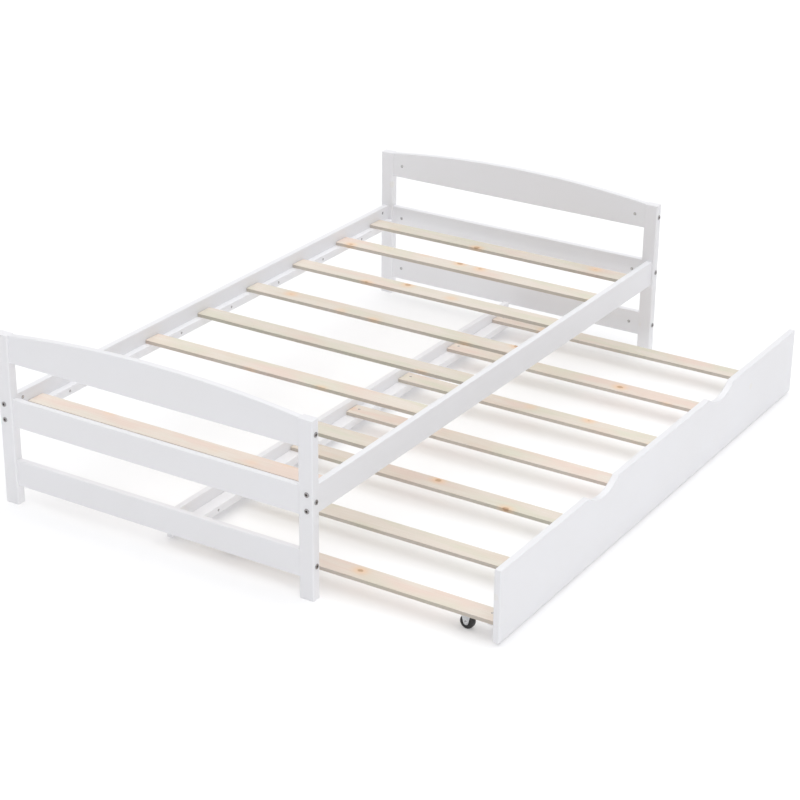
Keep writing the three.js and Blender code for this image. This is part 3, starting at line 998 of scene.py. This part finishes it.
def makeFork(corner):
    values = forkValues
    node = f"caster_{corner}_fork"
    low, high = (Vector(v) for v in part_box(node))
    middle = (low + high) / 2
    wheelWidth = nodeSize(f"caster_{corner}_wheel").y
    axleZ = nodeMiddle(f"caster_{corner}_wheel").z
    sheet = values["sheet"]
    bm = bmesh.new()
    rounding = values["plateCorner"]
    x, y = values["plateLength"] / 2 - rounding, values["plateWidth"] / 2 - rounding
    outline = []
    for quarter, (signX, signY) in enumerate(((1, 1), (-1, 1), (-1, -1), (1, -1))):
        outline += arcPoints(signX * x, signY * y, rounding, 90 * quarter, 90 * quarter + 90, 6)
    plate = slabFromOutline(outline, sheet, values["easedEdge"])
    appendShape(bm, plate, Matrix.Translation((0, 0, high.z - sheet - axleZ)))
    plate.free()
    # a leg each side, broad at the bend and round about the axle
    reach = high.z - sheet - axleZ - values["bend"] * 0.4
    top = values["legTop"]
    legOutline = [(-top, reach)] + arcPoints(0, 0, values["legEnd"], 172, 368, 18) + [(top, reach)]
    leg = slabFromOutline(legOutline, sheet, values["easedEdge"])
    stand = Matrix(((1, 0, 0), (0, 0, -1), (0, 1, 0))).to_4x4()
    legInside = wheelWidth / 2 + values["wheelGap"]
    for side in (-1, 1):
        outer = side * legInside + (sheet if side > 0 else 0)
        appendShape(bm, leg, Matrix.Translation((0, outer, 0)) @ stand)
    leg.free()
    # the rounded bend between plate and legs
    bendCurve = ((0, 0), (0.5, 0.06), (1.1, 0.35), (1.6, 0.9), (1.9, 1.7), (2.0, 2.6), (0, 2.6))
    bendFoot = high.z - axleZ - sheet - 1.4 * mm
    for side in (-1, 1):
        fillet = bmesh.new()
        rings = []
        for x in (-top + 0.6 * mm, top - 0.6 * mm):
            rings.append([fillet.verts.new((x, side * (legInside + dy * mm), bendFoot + dz * mm))
                          for dy, dz in bendCurve])
        bridgeLoops(fillet, rings[0], rings[1])
        fillet.faces.new(rings[0])
        fillet.faces.new(list(reversed(rings[1])))
        bmesh.ops.recalc_face_normals(fillet, faces=fillet.faces)
        appendShape(bm, fillet, asDrawn)
        fillet.free()
    return finishPiece(node + "_steel", bm, asDrawn, Vector((middle.x, middle.y, axleZ)), "trundle",
                       [zincPlating], 700, [node])


casterWheelValues = {
    "bore": 3.1 * mm, "hubRadius": 7 * mm, "rimRadius": 14 * mm, "webSink": 2.4 * mm,
    "spokes": 6, "spokeHalf": 1.5 * mm,
}


def makeWheel(corner):
    # moulded wheel: crowned tread, sunk web with ribs, plain bore
    values = casterWheelValues
    node = f"caster_{corner}_wheel"
    size = nodeSize(node)
    outer, half = size.z / 2, size.y / 2
    hub, rim, web = values["hubRadius"], values["rimRadius"], half - values["webSink"]
    # from the bore out over the hub, down into the web, up onto the rim and round the crowned tread
    profile = [
        (values["bore"], half), (hub - 0.5 * mm, half), (hub, half - 0.5 * mm),
        (hub + 0.4 * mm, web + 0.5 * mm), (hub + 1.0 * mm, web), (rim - 1.0 * mm, web),
        (rim - 0.3 * mm, web + 0.5 * mm), (rim, half - 0.5 * mm), (rim + 0.5 * mm, half),
        (outer - 3.2 * mm, half), (outer - 2.0 * mm, half - 0.35 * mm), (outer - 1.0 * mm, half - 1.2 * mm),
        (outer - 0.35 * mm, half - 2.6 * mm), (outer - 0.05 * mm, half - 5 * mm), (outer, 1.0 * mm),
        (outer, 0.25 * mm), (outer - 0.12 * mm, 0.0)]
    profile += [(radius, -y) for radius, y in reversed(profile[:-1])]
    bm = bmesh.new()
    count = 64
    loops = [ringLoop(bm, radius, height, count) for radius, height in profile]
    for first, second in zip(loops, loops[1:]):
        bridgeLoops(bm, first, second)
    bridgeLoops(bm, loops[-1], loops[0])
    bmesh.ops.recalc_face_normals(bm, faces=bm.faces)
    for side in (-1, 1):
        for index in range(values["spokes"]):
            rib = bmesh.new()
            bmesh.ops.create_cube(rib, size=1)
            bmesh.ops.scale(rib, vec=(rim - hub + 0.8 * mm, 2 * values["spokeHalf"], 1.6 * mm), verts=rib.verts)
            bmesh.ops.bevel(rib, geom=rib.edges, offset=0.3 * mm, segments=2, affect="EDGES")
            turn = Matrix.Rotation(2 * math.pi * index / values["spokes"], 4, "Z")
            appendShape(bm, rib, turn @ Matrix.Translation(((rim + hub) / 2, 0, side * (web + 0.6 * mm))))
            rib.free()
    return finishPiece(node + "_moulding", bm, facing((0, 1, 0)), nodeMiddle(node), f"wheel_{corner}",
                       [wheelPlastic], 710, [node])


axleValues = {"radius": 3.0 * mm, "headRadius": 5.0 * mm, "headHeight": 1.5 * mm}


def makeAxle(corner):
    # pin with a domed, riveted head outside each leg
    node = f"caster_{corner}_axle"
    half = nodeSize(node).y / 2
    head, seat = axleValues["headRadius"], half - axleValues["headHeight"]
    profile = [(head * 0.35, half), (head * 0.7, half - 0.25 * mm), (head * 0.93, half - 0.7 * mm),
               (head, half - 1.2 * mm), (head - 0.1 * mm, seat), (axleValues["radius"], seat)]
    profile += [(radius, -y) for radius, y in reversed(profile)]
    bm = bmesh.new()
    loops = [ringLoop(bm, radius, height, 32) for radius, height in profile]
    for first, second in zip(loops, loops[1:]):
        bridgeLoops(bm, first, second)
    bm.faces.new(loops[0])
    bm.faces.new(list(reversed(loops[-1])))
    bmesh.ops.recalc_face_normals(bm, faces=bm.faces)
    return finishPiece(node + "_rivet", bm, facing((0, 1, 0)), nodeMiddle(node), "trundle", [zincPlating],
                       720, [node])


plateScrewValues = {"radius": 3.4 * mm, "apartX": 36 * mm, "apartY": 24.8 * mm}


def makePlateScrews(corner):
    # four pan-head screws under each caster's plate
    low, high = (Vector(v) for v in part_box(f"caster_{corner}_fork"))
    middle = (low + high) / 2
    plateUnder = high.z - forkValues["sheet"]
    screw = bmesh.new()
    radius = plateScrewValues["radius"]
    loops = [ringLoop(screw, radius, 0.0, 20), ringLoop(screw, radius * 0.96, 0.7 * mm, 20),
             ringLoop(screw, radius * 0.75, 1.3 * mm, 20), ringLoop(screw, radius * 0.4, 1.5 * mm, 20),
             ringLoop(screw, radius * 0.3, 0.7 * mm, 20)]
    for first, second in zip(loops, loops[1:]):
        bridgeLoops(screw, first, second)
    screw.faces.new(loops[-1])
    screw.faces.new(list(reversed(loops[0])))
    gang = bmesh.new()
    halfX, halfY = plateScrewValues["apartX"] / 2, plateScrewValues["apartY"] / 2
    for dx in (-halfX, halfX):
        for dy in (-halfY, halfY):
            place = Matrix.Translation((middle.x + dx, middle.y + dy, plateUnder))
            appendShape(gang, screw, place @ facing((0, 0, -1)))
    screw.free()
    bmesh.ops.recalc_face_normals(gang, faces=gang.faces)
    return finishPiece(f"caster_{corner}_plate_screws", gang, asDrawn, Vector(), "trundle",
                       [zincPlating], 730)


for corner in ("front_foot", "front_head", "rear_foot", "rear_head"):
    makeFork(corner)
    makeWheel(corner)
    makeAxle(corner)
    makePlateScrews(corner)
print("casters: made")


# floor, sky, lamps and camera

studioValues = {
    "floorSize": 160.0, "floorColour": (0.93, 0.93, 0.935, 1),
    "skyColour": (0.97, 0.98, 1.0, 1), "skyStrength": 0.22, "backdropStrength": 1.0,
    # name: strength, spread, direction as azimuth and height in degrees, and whether it casts shadows
    "lamps": {
        "topLamp": (0.8, 80.0, 200.0, 80.0, True),
        "openTopLamp": (1.95, 120.0, 0.0, 90.0, False),
        "frontFillLamp": (0.66, 60.0, 54.0, 22.0, False),
    },
}


def outwards(azimuth, height):
    # from the bed towards a lamp or the camera: azimuth 0 stands on the -Y side and 90 on the +X side
    around, above = math.radians(azimuth), math.radians(height)
    return Vector((math.sin(around) * math.cos(above), -math.cos(around) * math.cos(above), math.sin(above)))


def makeStudio(values):
    bm = bmesh.new()
    bmesh.ops.create_grid(bm, x_segments=2, y_segments=2, size=values["floorSize"] / 2)
    mesh = bpy.data.meshes.new("studioFloor")
    bm.to_mesh(mesh)
    bm.free()
    floor = bpy.data.objects.new("studioFloor", mesh)
    bpy.context.collection.objects.link(floor)
    material = bpy.data.materials.new("floorPaper")
    material.use_nodes = True
    shader = material.node_tree.nodes["Principled BSDF"]
    shader.inputs["Base Color"].default_value = values["floorColour"]
    shader.inputs["Roughness"].default_value = 0.9
    mesh.materials.append(material)
    world = bpy.data.worlds.new("studioWorld")
    world.use_nodes = True
    tree = world.node_tree
    sky = tree.nodes["Background"]
    sky.inputs["Color"].default_value = values["skyColour"]
    # the backdrop beyond the floor is as pale as the floor, though it lights the bed less
    rays = addNode(tree, "ShaderNodeLightPath")
    seen = mapRange(tree, rays.outputs["Is Camera Ray"], 0.0, 1.0, values["skyStrength"],
                    values["backdropStrength"])
    feed(tree, sky.inputs["Strength"], seen)
    layOut(tree)
    bpy.context.scene.world = world
    for name, (strength, spread, azimuth, height, shadow) in values["lamps"].items():
        data = bpy.data.lights.new(name, "SUN")
        data.energy = strength
        data.angle = math.radians(spread)
        data.use_shadow = shadow
        lamp = bpy.data.objects.new(name, data)
        lamp.rotation_euler = (-outwards(azimuth, height)).to_track_quat("-Z", "Y").to_euler()
        bpy.context.collection.objects.link(lamp)
    bpy.context.scene.view_settings.view_transform = "Standard"
    bpy.context.scene.view_settings.look = "None"


cameraValues = {
    "aim": (0.083, -0.286, 0.261), "distance": 6.0, "azimuth": 32.01, "elevation": 24.31, "roll": 0.52,
    "lens": 94.56, "sensor": 36,
}


def makeCamera(values):
    data = bpy.data.cameras.new("studioCamera")
    data.sensor_width = values["sensor"]
    data.lens = values["lens"]
    data.clip_end = 200
    camera = bpy.data.objects.new("studioCamera", data)
    back = outwards(values["azimuth"], values["elevation"])
    camera.location = Vector(values["aim"]) + back * values["distance"]
    turn = (-back).to_track_quat("-Z", "Y").to_matrix().to_4x4()
    camera.rotation_euler = (turn @ Matrix.Rotation(math.radians(values["roll"]), 4, "Z")).to_euler()
    bpy.context.collection.objects.link(camera)
    bpy.context.scene.camera = camera


makeStudio(studioValues)
makeCamera(cameraValues)
print("studio: made")
